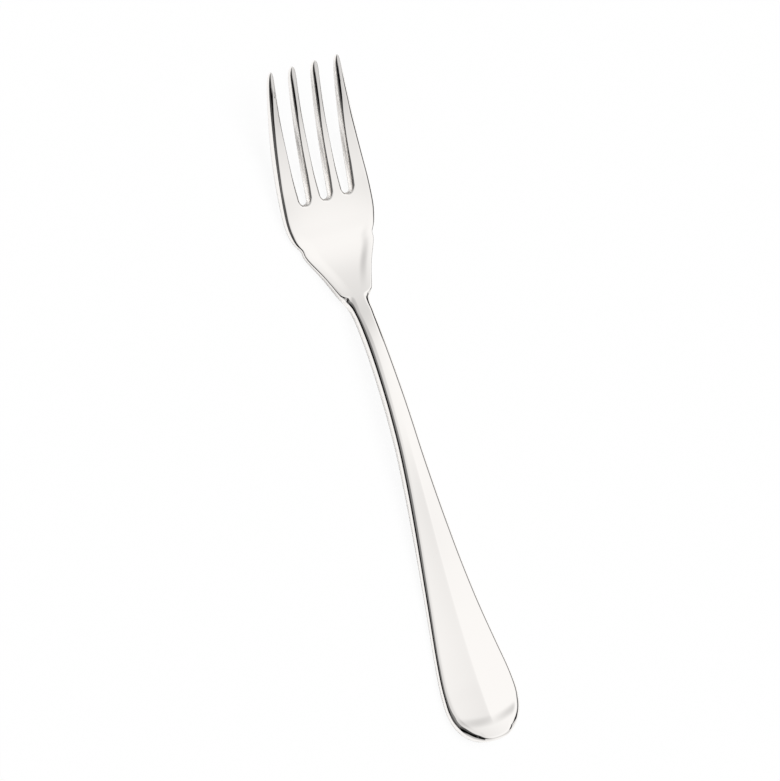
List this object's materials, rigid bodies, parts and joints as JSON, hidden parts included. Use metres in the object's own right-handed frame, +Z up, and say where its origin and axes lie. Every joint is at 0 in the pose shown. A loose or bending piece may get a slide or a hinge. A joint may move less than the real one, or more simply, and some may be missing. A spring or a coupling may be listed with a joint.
{
  "type": "fish fork",
  "caption": "Polished steel fish fork with swept tines, round-rooted slots, a nicked head, a slim arched stem and a ridged teardrop handle with an upturned end.",
  "frame": {"origin": "middle of the fork's length and width, on the surface that it lies on", "axes": "+Y along the fork from the handle's end to the tine tips, +Z up from the table through the upper face, +X to the right when the tines point away"},
  "size_m": [0.0272, 0.185, 0.0151],
  "materials": {
    "polished_steel": "mirror-polished stainless steel"
  },
  "bodies": {
    "root": {"handle_end": "polished_steel", "handle": "polished_steel", "stem": "polished_steel", "shoulder": "polished_steel", "palm": "polished_steel", "tine_outer_left": "polished_steel", "tine_inner_left": "polished_steel", "tine_inner_right": "polished_steel", "tine_outer_right": "polished_steel"}
  },
  "joints": []
}
